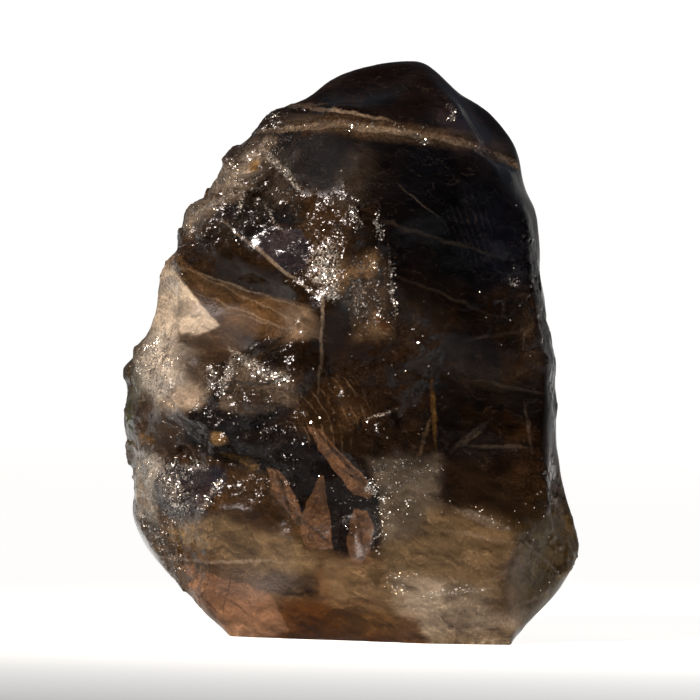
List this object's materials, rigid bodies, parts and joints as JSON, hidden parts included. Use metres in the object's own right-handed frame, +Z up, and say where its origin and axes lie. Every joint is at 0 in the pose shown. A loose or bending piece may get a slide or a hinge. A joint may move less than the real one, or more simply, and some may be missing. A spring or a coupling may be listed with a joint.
{
  "type": "smoky quartz crystal",
  "caption": "Rough, broken piece of dark brown see-through quartz with glassy shell fractures and a hackly left side, standing on a flat broken base.",
  "frame": {"origin": "middle of the box that holds the stone, on the plane of the flat base it stands on", "axes": "+Z up, along the stone's longest side, +Y from the pictured front face towards the back, +X to the right as seen from the front"},
  "size_m": [0.0486, 0.0332, 0.06],
  "materials": {
    "smoky_quartz": "glassy broken quartz, near black with a brown tint where thick, tan where thin, sparkling on the hackly breaks"
  },
  "bodies": {
    "root": {"smoky_quartz_crystal": "smoky_quartz"}
  },
  "joints": []
}
